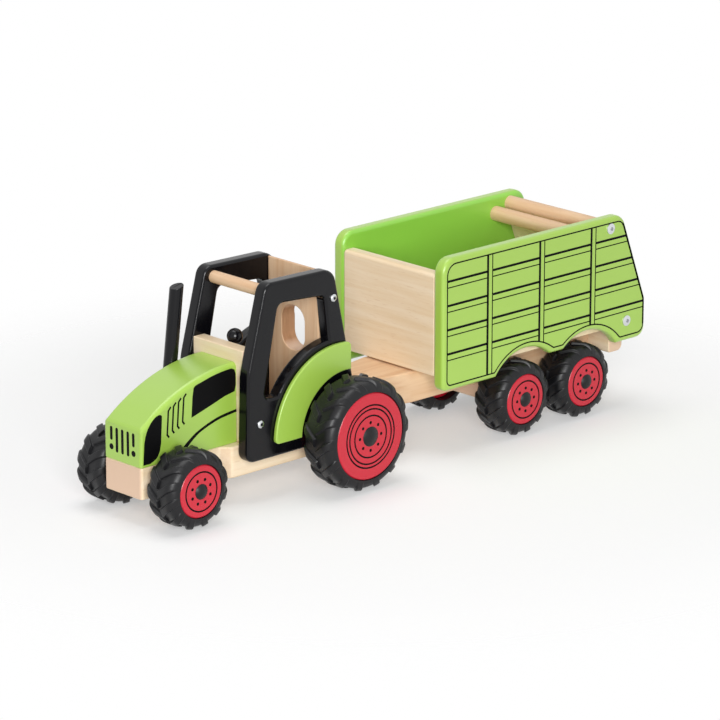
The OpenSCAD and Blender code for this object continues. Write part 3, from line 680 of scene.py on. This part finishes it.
def pan_head_mesh(head_r, recess, recess_shaded_zinc):
    """A pan-head screw along +Z with its cross recess cut in; sizes are in mm."""
    rise = HEAD_H - HEAD_H * WALL_SHARE
    dome_r = (head_r ** 2 + rise ** 2) / (2 * rise)
    rim = math.asin(head_r / dome_r)
    dome = []
    for k in range(DOME_STEPS + 1):
        a = rim * (DOME_STEPS - k) / DOME_STEPS
        dome.append((dome_r * math.sin(a), HEAD_H - dome_r * (1 - math.cos(a))))
    head = bmesh.new()
    lathe(head, [(0, -SHANK_L), (SHANK_R, -SHANK_L), (SHANK_R, 0), (head_r, 0)] + dome, HEAD_SIDES)
    mesh = as_mesh(head, "pan_head")
    mesh.materials.append(zinc)
    cross = bmesh.new()
    for w, d in ((RECESS_L * head_r, RECESS_W * head_r), (RECESS_W * head_r, RECESS_L * head_r)):
        corners = []
        for z, k in ((HEAD_H - recess, RECESS_TAPER), (HEAD_H + CUTTER_PROUD, 1.0)):
            for sx, sy in ((-1, -1), (1, -1), (1, 1), (-1, 1)):
                corners.append(cross.verts.new((sx * w / 2 * k * MM, sy * d / 2 * k * MM, z * MM)))
        lo, hi = corners[:4], corners[4:]
        cross.faces.new(lo[::-1])
        cross.faces.new(hi)
        for k in range(4):
            cross.faces.new([lo[k], lo[(k + 1) % 4], hi[(k + 1) % 4], hi[k]])
    cutter_mesh = as_mesh(cross, "cross_cutter")
    cutter_mesh.materials.append(recess_shaded_zinc)
    blank, cutter = linked("pan_head_blank", mesh), linked("cross_cutter", cutter_mesh)
    cut = blank.modifiers.new("recess", "BOOLEAN")
    cut.object = cutter
    cut.solver = "EXACT"
    cut.use_self = True
    cut.material_mode = "TRANSFER"
    done = baked(blank)
    for o in (blank, cutter):
        bpy.data.objects.remove(o)
    return done


def screws(node, head_r, recess, recess_shaded_zinc, turn_deg):
    """All the screws of one node, each at the middle of its CAD solid's head."""
    screw_mesh = pan_head_mesh(head_r, recess, recess_shaded_zinc)
    solid = cad_solid(node)
    todo, heads = set(solid.verts), []
    while todo:
        grown = [todo.pop()]
        for v in grown:
            for e in v.link_edges:
                other = e.other_vert(v)
                if other in todo:
                    todo.remove(other)
                    grown.append(other)
        spots = [v.co.copy() for v in grown]
        side = 1 if sum(s.y for s in spots) > 0 else -1
        tip = max(s.y * side for s in spots)
        axis_x = (min(s.x for s in spots) + max(s.x for s in spots)) / 2
        axis_z = (min(s.z for s in spots) + max(s.z for s in spots)) / 2
        heads.append((axis_x, tip - HEAD_H * MM, axis_z, side))
    solid.free()
    group = bmesh.new()
    for i, (x, y, z, side) in enumerate(sorted(heads)):
        a = math.radians(turn_deg + TURN_STEP_DEG * i)
        for_one = bmesh.new()
        for_one.from_mesh(screw_mesh)
        for v in for_one.verts:
            u = v.co.x * math.cos(a) - v.co.y * math.sin(a)
            w = v.co.x * math.sin(a) + v.co.y * math.cos(a)
            v.co = (x + u, side * (y + v.co.z), z + w * -side)
        group.from_mesh(as_mesh(for_one, "one_screw"))
    bmesh.ops.recalc_face_normals(group, faces=group.faces)
    mesh = as_mesh(group, node + "_finished")
    metal_of_face = [face.material_index for face in mesh.polygons]
    piece = finish_piece(node + "_finished", mesh, node, zinc)
    mesh.materials.append(recess_shaded_zinc)
    mesh.polygons.foreach_set("material_index", metal_of_face)
    smooth(piece, sharp_deg=30.0)


screws("cab_screws", CAB_HEAD_R, CAB_RECESS, cab_recess_shaded_zinc, 20.0)

# Axles: bright drawn-steel rods that turn in the bores of the chassis, cab panels and axle block.
# Only short lengths show, between the wheels and the wood.
WHEELSETS = ("front", "rear", "bogie_front", "bogie_rear")
for wheelset in WHEELSETS:
    sanded(wheelset + "_axle", 0.4, zinc)

# Hubs: turned wooden discs with a rounded face edge, sprayed red and pressed on the axles.
# Rings and a circle of dots are printed on the face in black.
red_paint = sprayed_paint("sprayed_red_paint", "#C91D32", "#C11A30", 0.26)
RING_W, RING_STEPS, DOTS, DOT_R, DOT_STEPS = 1.25, 90, 8, 1.25, 16
# Radii of the printed rings and of the circle of dots in mm, and that circle's turn as a share of its pitch.
HUB_MARKS = {"front": ((14.9,), 9.3, 0.5), "rear": ((16.2, 21.3, 24.3), 10.9, 0.0),
             "bogie_front": ((14.9,), 9.3, 0.0), "bogie_rear": ((14.9,), 9.3, 0.0)}
for wheelset in WHEELSETS:
    ring_radii, dot_circle, dot_turn = HUB_MARKS[wheelset]
    for side, sign in SIDES:
        hub = wheelset + "_hub_" + side
        sanded(hub, 0, red_paint)
        low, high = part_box(hub)
        middle = (low + high) / 2
        face_y = high.y if sign > 0 else low.y
        marks = []
        for radius in ring_radii:
            marks += ribbon(circle_points((0, 0), radius, RING_STEPS), RING_W, closed=True)
        for k in range(DOTS):
            a = 2 * math.pi * (k + dot_turn) / DOTS
            spot = (dot_circle * math.cos(a), dot_circle * math.sin(a))
            marks += [circle_points(spot, DOT_R, DOT_STEPS)]

        def on_hub(a, b):
            return (middle.x + a, face_y, middle.z + b)

        printed(hub + "_print", hub, marks, on_hub)

# Tyres: rings of soft black rubber moulded with two staggered rows of slanting lugs, like a field tractor's.
# They are stretched over the hubs; each lug runs from the crown down over the shoulder.


def moulded_rubber(name):
    """Moulded rubber: near black and dull, with the fine grain of the mould and a faint grey bloom."""
    grain_mm, bloom_mm = 0.9, 14.0
    material = empty_tree(bpy.data.materials.new(name))
    place = add(material, "ShaderNodeTexCoord").outputs["Object"]
    grain = add(material, "ShaderNodeTexNoise", {
        "Vector": place, "Scale": 1 / (grain_mm * MM), "Detail": 3.0,
    })
    bloom = add(material, "ShaderNodeTexNoise", {
        "Vector": place, "Scale": 1 / (bloom_mm * MM), "Detail": 4.0,
    })
    tint = add(material, "ShaderNodeMix", {
        MIX_FACTOR: bloom.outputs["Fac"], MIX_A: linear("#0D0D0F"), MIX_B: linear("#141417"),
    }, data_type="RGBA")
    gloss = add(material, "ShaderNodeMapRange", {
        "Value": bloom.outputs["Fac"], "To Min": 0.3, "To Max": 0.46,
    })
    relief = add(material, "ShaderNodeBump", {
        "Height": grain.outputs["Fac"], "Strength": 0.3, "Distance": 0.2 * MM,
    })
    shader = add(material, "ShaderNodeBsdfPrincipled", {
        "Base Color": tint.outputs[MIX_RESULT],
        "Roughness": gloss.outputs["Result"],
        "Normal": relief.outputs["Normal"],
        "IOR": 1.4,
    })
    add(material, "ShaderNodeOutputMaterial", {"Surface": shader.outputs["BSDF"]})
    return material


rubber = moulded_rubber("moulded_black_rubber")
LUG_H, LUG_W, LUG_SLANT_DEG, SHOULDER_R = 2.0, 5.0, 38.0, 7.5
LUG_COUNT = {"front": 12, "rear": 14, "bogie_front": 12, "bogie_rear": 12}
BEAD_LIP_H, BEAD_LIP_W = 0.5, 2.2
# A lug starts this many degrees round the shoulder and has its full height this many further on.
LUG_STARTS_DEG, LUG_GROWS_DEG, SHOULDER_STEPS = 8.0, 40.0, 8
# Share of a lug's height by which it also stands out sideways on the shoulder.
LUG_BULGE = 0.4


def tyre_section(bead_r, outer_r, width):
    """Rows of the tyre's section: radius, y, outward direction (radial, axial), share of the lug's height."""
    crown_r = outer_r - LUG_H
    half = width / 2
    turn_r, turn_y = crown_r - SHOULDER_R, half - SHOULDER_R
    # The lip of the bead is rounded over by a few tenths of a millimetre.
    rows = [
        (bead_r, half - 0.9, 0, 1, 0), (bead_r + 0.5, half - 0.2, 0, 1, 0),
        (bead_r + BEAD_LIP_W - 0.6, half - 0.05, 0, 1, 0), (bead_r + BEAD_LIP_W, half - BEAD_LIP_H, 0, 1, 0),
    ]
    reach = turn_r - rows[-1][0]
    if reach > 1.0:
        rows += [(rows[3][0] + reach * k / 2, half - BEAD_LIP_H * (1 - k / 2), 0, 1, 0) for k in (1, 2)]
    for k in range(SHOULDER_STEPS + 1):
        round_deg = 90 / SHOULDER_STEPS * k
        a = math.radians(90 - round_deg)
        share = max(0.0, min(1.0, (round_deg - LUG_STARTS_DEG) / LUG_GROWS_DEG))
        rows.append((turn_r + SHOULDER_R * math.cos(a), turn_y + SHOULDER_R * math.sin(a),
                     math.cos(a), math.sin(a), share))
    for y in (turn_y * 0.66, turn_y * 0.33, 1.3, 0.75):
        rows.append((crown_r, y, 1, 0, 1))
    rows.append((crown_r, 0.2, 1, 0, 0))
    rows += [(r, -y, nr, -ny, share) for r, y, nr, ny, share in reversed(rows)]
    return rows


def moulded_tyre(wheelset, side, mirror):
    """A tyre whose mesh columns follow the slant of the lugs, so that every lug edge is a clean line."""
    node = wheelset + "_tyre_" + side
    low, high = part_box(node)
    hub_low, hub_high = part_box(wheelset + "_hub_" + side)
    middle = (low + high) / 2
    outer_r, width = (high.x - low.x) / 2 / MM, (high.y - low.y) / MM
    bead_r = (hub_high.x - hub_low.x) / 2 / MM
    pitch = 2 * math.pi / LUG_COUNT[wheelset]
    half_lug = LUG_W / math.cos(math.radians(LUG_SLANT_DEG)) / 2
    # Offsets in mm from a lug's middle, and the share of its height there: a steep flank with soft edges.
    flank = ((0, 1), (half_lug * 0.55, 1), (half_lug - 0.5, 1), (half_lug, 0.9), (half_lug + 0.6, 0.1),
             (half_lug + 1.0, 0))
    columns = []
    for k in range(LUG_COUNT[wheelset]):
        for row_shift in (0, 1):
            at = pitch * (k + row_shift / 2)
            for offset, _ in flank:
                for way in ((1, -1) if offset else (1,)):
                    columns.append(at + way * offset / outer_r)
    columns.sort()

    def lug_share(angle, row_shift):
        """Height share at an angle, for the row of lugs on one side of the crown."""
        gap = abs((angle - pitch * row_shift / 2 + pitch / 2) % pitch - pitch / 2) * outer_r
        for (d0, s0), (d1, s1) in zip(flank, flank[1:]):
            if gap <= d1:
                return s0 + (s1 - s0) * (gap - d0) / (d1 - d0)
        return 0.0

    rows = tyre_section(bead_r, outer_r, width)
    skin = bmesh.new()
    grid = []
    for r, y, nr, ny, share in rows:
        ring = []
        for angle in columns:
            height = LUG_H * share * lug_share(angle, 0 if y > 0 else 1)
            radius, axial = r + nr * height, y + ny * height * LUG_BULGE
            a = angle - math.tan(math.radians(LUG_SLANT_DEG)) * abs(y) / outer_r
            ring.append(skin.verts.new((middle.x + radius * math.sin(a) * MM,
                                        middle.y + mirror * axial * MM,
                                        middle.z + radius * math.cos(a) * MM)))
        grid.append(ring)
    for i in range(len(rows)):
        for j in range(len(columns)):
            n, m = (i + 1) % len(rows), (j + 1) % len(columns)
            skin.faces.new([grid[i][j], grid[i][m], grid[n][m], grid[n][j]])
    bmesh.ops.recalc_face_normals(skin, faces=skin.faces)
    mesh = as_mesh(skin, node + "_moulded")
    smooth(finish_piece(mesh.name, mesh, node, rubber), sharp_deg=60.0)


for wheelset in WHEELSETS:
    for side, sign in SIDES:
        moulded_tyre(wheelset, side, sign)

# Axle caps: low domes of moulded black plastic, pushed over the axle ends to hold the wheels on.
# Their satin skin has the soft waviness of a sprayed coat, so the same function makes it.
cap_plastic = sprayed_paint("moulded_black_plastic", "#101012", "#0D0D0F", 0.42, ior=1.4)
for wheelset in WHEELSETS:
    sanded(wheelset + "_caps", 0.3, cap_plastic)

# Trailer bed: a beech beam that tapers to the hitch, an axle block glued under it and a floor board on it.
# The rear sill is a screwed cross block; all are sanded and lacquered like the chassis.
# The floor board's top lies just over the panels' wheel arches, so that the box has no gap along its sides.
FLOOR_LIFT = 4.0
# The drawbar's rosier steamed beech is partly the wood's own tone and partly painted shade, for the shade it
# lies in between cab and trailer.
steamed_lengthwise_with_painted_shade = lacquered_beech("lacquered_steamed_beech_lengthwise_with_painted_shade", "X", *STEAMED_BEECH)
sanded("drawbar", 1.4, steamed_lengthwise_with_painted_shade)
sanded("axle_block", 1.0, beech_lengthwise)


def with_face_lifted(node, at_z, rise_mm):
    """A CAD node's solid whose top or foot, the face at one height, is lifted."""
    solid = cad_solid(node)
    for v in solid.verts:
        if abs(v.co.z - at_z) < PLANE_MM * MM:
            v.co.z += rise_mm * MM
    return solid


deck = with_face_lifted("floor_board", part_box("floor_board")[1].z, FLOOR_LIFT)
sanded("floor_board", 0.6, beech_lengthwise, body=deck)
sanded("rear_sill", 1.2, beech_across)

# Trailer ends: an upright front board, a tailgate that leans as the panels' rear edge does, and two dowels.
# They are glued between the panels; the rear dowel is screwed too, and its twin lies ahead of it and lower.
# The front board's foot clears the drawbar by a thin shadow line.
FRONT_GAP = 1.2
TAILGATE_T, TAILGATE_AHEAD, TAILGATE_BELOW = 10.0, 2.5, 4.0
TWIN_AHEAD, TWIN_BELOW = 16.3, 5.7
PANEL_TOP_L, PANEL_TAIL_H = 199.0, 32.0
panel_low, panel_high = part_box("side_panel_left")
panel_l = (panel_high.x - panel_low.x) / MM
panel_h = (panel_high.z - panel_low.z) / MM
lean_l, lean_h = panel_l - PANEL_TOP_L, panel_h - PANEL_TAIL_H
lean = math.hypot(lean_l, lean_h)
front = with_face_lifted("front_board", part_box("front_board")[0].z, FRONT_GAP)
sanded("front_board", 1.0, beech_across, body=front)
sanded("rear_dowel", 0, steamed_across)
dowel_low, dowel_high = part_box("rear_dowel")
gate = bmesh.new()
rings = []
for z, ways in ((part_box("rear_sill")[1].z, (1, -1)), (dowel_low.z - TAILGATE_BELOW * MM, (-1, 1))):
    lean_back = (dowel_high.z - z) * lean_l / lean_h
    middle_x = (dowel_low.x + dowel_high.x) / 2 + TAILGATE_AHEAD * MM - lean_back
    for way in ways:
        x = middle_x + way * TAILGATE_T / 2 * MM * lean / lean_h
        rings.append([gate.verts.new((x, y, z)) for y in (dowel_low.y, dowel_high.y)])
for k in range(4):
    gate.faces.new([rings[k - 1][0], rings[k][0], rings[k][1], rings[k - 1][1]])
for end in (0, 1):
    gate.faces.new([ring[end] for ring in rings])
bmesh.ops.recalc_face_normals(gate, faces=gate.faces)
sanded("rear_board", 0.8, beech_across, body=gate)
twin = cad_solid("rear_dowel")
bmesh.ops.translate(twin, verts=twin.verts, vec=(TWIN_AHEAD * MM, 0, -TWIN_BELOW * MM))
sanded("rear_dowel", 0, steamed_across, name="rear_dowel_twin", body=twin)

# Trailer panels: plywood sides with a sloping rear edge and an arch over each wheel, every edge routed round.
# They are sprayed lime green and printed with a frame line, posts and slat lines in black.
PRINT_INSET, REAR_INSET, ARCH_GAP, MID_RISE = 4.6, 3.0, 12.0, 7.0
FRAME_W, REAR_W, POST_W, POST_THIN_W, SLAT_W, SLAT_THIN_W = 1.1, 1.8, 2.2, 1.0, 1.9, 0.9
PANEL_EDGE_MM, PAIR_STEP, REAR_REACH = 3.4, 5.0, 2.5
axle_behind = [(panel_high.x - (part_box(s + "_tyre_left")[0].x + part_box(s + "_tyre_left")[1].x) / 2) / MM
               for s in ("bogie_front", "bogie_rear")]
tyre_r = (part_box("bogie_front_tyre_left")[1].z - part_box("bogie_front_tyre_left")[0].z) / 2 / MM
arch_r = tyre_r + ARCH_GAP + PRINT_INSET
arch_z = tyre_r - panel_low.z / MM


def frame_rear(z):
    """How far behind the front edge the frame line's rear run is, at a height above the foot."""
    sloping = panel_l - REAR_INSET * lean / lean_h - (z - PANEL_TAIL_H) * lean_l / lean_h
    return min(panel_l - REAR_INSET, sloping)


def frame_foot(x):
    """Height of the frame line's lower run, which lifts over each wheel."""
    foot = PRINT_INSET + (MID_RISE if axle_behind[0] < x < axle_behind[1] else 0)
    for axle in axle_behind:
        if abs(x - axle) < arch_r:
            foot = max(foot, arch_z + math.sqrt(arch_r ** 2 - (x - axle) ** 2))
    return foot


frame_top = panel_h - PRINT_INSET
tail_z = PANEL_TAIL_H - REAR_INSET * (lean - lean_h) / lean_l
# Corners of the frame line as (mm behind the panel's front edge, mm above its foot, rounding).
corners = [
    (PRINT_INSET, PRINT_INSET, 4.0), (PRINT_INSET, frame_top, 9.0), (frame_rear(frame_top), frame_top, 8.0),
    (panel_l - REAR_INSET, tail_z, 8.0), (panel_l - REAR_INSET, PRINT_INSET, 6.0),
]
frame_line = []
for i, (x, z, radius) in enumerate(corners):
    frame_line += rounded_corner(corners[i - 1][:2], (x, z), corners[(i + 1) % len(corners)][:2], radius)
# The lower run starts and ends this far inside the frame line's corners.
FOOT_STEPS, FOOT_FROM, FOOT_TO = 120, 7.0, 5.0
foot_rear, foot_front = panel_l - REAR_INSET - FOOT_FROM, PRINT_INSET + FOOT_TO
foot_run = [foot_rear - (foot_rear - foot_front) * k / FOOT_STEPS for k in range(FOOT_STEPS + 1)]
frame_line += [(x, frame_foot(x)) for x in foot_run]
slats = ribbon(frame_line, FRAME_W, closed=True)
# The frame line is heavier down the rear edge, from the roundings at its top to the one at its foot.
slats += ribbon([
    (x, z) for x, z in frame_line
    if x > frame_rear(frame_top) and z > 2 * PRINT_INSET and x >= frame_rear(z) - REAR_REACH
], REAR_W)
# Posts are given behind the front edge, and slats above the foot.
# Each is a heavy line with a fine one PAIR_STEP behind or below it.
POSTS, SLATS = (48.0, 105.0, 162.5), (87.3, 68.1, 49.0, 29.8)
for post in POSTS:
    for x, width in ((post, POST_W), (post + PAIR_STEP, POST_THIN_W)):
        slats += ribbon([(x, frame_top), (x, frame_foot(x))], width)
for slat in SLATS:
    for z, width in ((slat, SLAT_W), (slat - PAIR_STEP, SLAT_THIN_W)):
        starts = [PRINT_INSET] + [post + PAIR_STEP for post in POSTS]
        ends = list(POSTS) + [frame_rear(z)]
        for start, end in zip(starts, ends):
            slats += ribbon([(start, z), (end, z)], width)
# The panels' deeper, greener inside colour is painted shade and painted green bounce light for the inside of
# the box.
panel_paint = sprayed_paint("sprayed_lime_panel_paint_with_painted_inside_shade", *LIME, 0.34, coat=0.7, inside="#8FD048")
for side, sign in SIDES:
    panel = "side_panel_" + side
    routed(panel, PANEL_EDGE_MM, panel_paint, steps=5)
    face_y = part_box(panel)[1].y if sign > 0 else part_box(panel)[0].y

    def on_panel(a, b):
        return (panel_high.x - a, face_y, panel_low.z + b)

    printed(panel + "_print", panel, slats, on_panel)
screws("trailer_screws", TRAILER_HEAD_R, TRAILER_RECESS, trailer_recess_shaded_zinc, 70.0)

# Studio: a plain white paper sheet under the toy, in a bright white surround.
# A large soft lamp stands ahead on the left, and a weaker one hangs overhead.


def seen_directly(owner):
    """1 for rays that show the sheet or the surround to the eye, also in a gloss or through glass; else 0."""
    ray = add(owner, "ShaderNodeLightPath").outputs
    shown = ray["Is Camera Ray"]
    for kind in ("Is Glossy Ray", "Is Transmission Ray"):
        shown = add(owner, "ShaderNodeMath", {0: shown, 1: ray[kind]}, operation="MAXIMUM").outputs["Value"]
    return shown


def studio_sheet(name):
    """White paper: a matt sheet that takes the toy's shadow and melts into the white surround further out."""
    near_m, far_m, fibre_mm, lift = 0.27, 0.52, 2.0, 0.35
    material = empty_tree(bpy.data.materials.new(name))
    place = add(material, "ShaderNodeTexCoord").outputs["Object"]
    fibres = add(material, "ShaderNodeTexNoise", {
        "Vector": place, "Scale": 1 / (fibre_mm * MM), "Detail": 2.0,
    })
    tint = add(material, "ShaderNodeMix", {
        MIX_FACTOR: fibres.outputs["Fac"], MIX_A: linear("#FFFFFF"), MIX_B: linear("#FCFCFC"),
    }, data_type="RGBA")
    paper = add(material, "ShaderNodeBsdfPrincipled", {
        "Base Color": tint.outputs[MIX_RESULT], "Roughness": 0.9,
    })
    white = add(material, "ShaderNodeEmission", {"Color": linear("#FFFFFF"), "Strength": 1.0})
    lifted = add(material, "ShaderNodeMath", {0: seen_directly(material), 1: lift}, operation="MULTIPLY")
    lit = add(material, "ShaderNodeMixShader", {
        0: lifted.outputs["Value"], 1: paper.outputs["BSDF"], 2: white.outputs["Emission"],
    })
    reach = add(material, "ShaderNodeVectorMath", {0: place}, operation="LENGTH")
    fade = add(material, "ShaderNodeMapRange", {
        "Value": reach.outputs["Value"], "From Min": near_m, "From Max": far_m,
    }, interpolation_type="SMOOTHSTEP")
    clear = add(material, "ShaderNodeBsdfTransparent")
    sheet = add(material, "ShaderNodeMixShader", {
        0: fade.outputs["Result"], 1: lit.outputs["Shader"], 2: clear.outputs["BSDF"],
    })
    add(material, "ShaderNodeOutputMaterial", {"Surface": sheet.outputs["Shader"]})
    return material


# The sheet's radius is in metres.
SHEET_R, SHEET_SIDES, SHEET_DROP_MM = 0.55, 96, 0.2
sheet_shape = bmesh.new()
bmesh.ops.create_circle(sheet_shape, cap_ends=True, segments=SHEET_SIDES, radius=SHEET_R)
sheet_mesh = as_mesh(sheet_shape, "studio_sheet")
sheet_mesh.materials.append(studio_sheet("white_studio_paper"))
sheet = linked("studio_sheet", sheet_mesh)
sheet.location.z = cad_box[0][2] - SHEET_DROP_MM * MM

world = empty_tree(bpy.data.worlds.new("white_surround"))
bpy.context.scene.world = world
SURROUND = 0.26
level = add(world, "ShaderNodeMapRange", {"Value": seen_directly(world), "To Min": SURROUND, "To Max": 1.0})
backdrop = add(world, "ShaderNodeBackground", {
    "Color": linear("#FFFFFF"), "Strength": level.outputs["Result"],
})
add(world, "ShaderNodeOutputWorld", {"Surface": backdrop.outputs["Background"]})


def aimed(place, target):
    """The turn that points a lamp or a camera from one place at another."""
    return (Vector(target) - Vector(place)).to_track_quat("-Z", "Y").to_euler()


TOY_MIDDLE = (0, 0, 0.07)


def soft_lamp(name, place, width, watts):
    """A square soft box that faces the toy; places are in metres."""
    light = bpy.data.lights.new(name, "AREA")
    light.shape = "SQUARE"
    light.size = width
    light.energy = watts
    lamp = linked(name, light)
    lamp.location = place
    lamp.rotation_euler = aimed(place, TOY_MIDDLE)


soft_lamp("key_soft_box", (2.2, 2.7, 1.2), 1.6, 112.0)
soft_lamp("top_soft_box", (0.1, -0.3, 3.0), 2.0, 40.0)

# Camera: the photograph's own angle, from ahead on the toy's left and a little above.
# A long lens keeps the toy's lines nearly parallel.
CAMERA_AT, CAMERA_TO = (2.1062, 2.219, 0.9976), (0.0072, 0, 0.0742)
LENS_MM, SENSOR_MM, SIGHT_M = 208.05, 36.0, 20.0
photo_view = bpy.data.cameras.new("photo_view")
photo_view.lens = LENS_MM
photo_view.sensor_width = SENSOR_MM
photo_view.clip_end = SIGHT_M
camera = linked("photo_view", photo_view)
camera.location = CAMERA_AT
camera.rotation_euler = aimed(CAMERA_AT, CAMERA_TO)
bpy.context.scene.camera = camera
bpy.context.scene.view_settings.view_transform = "Standard"
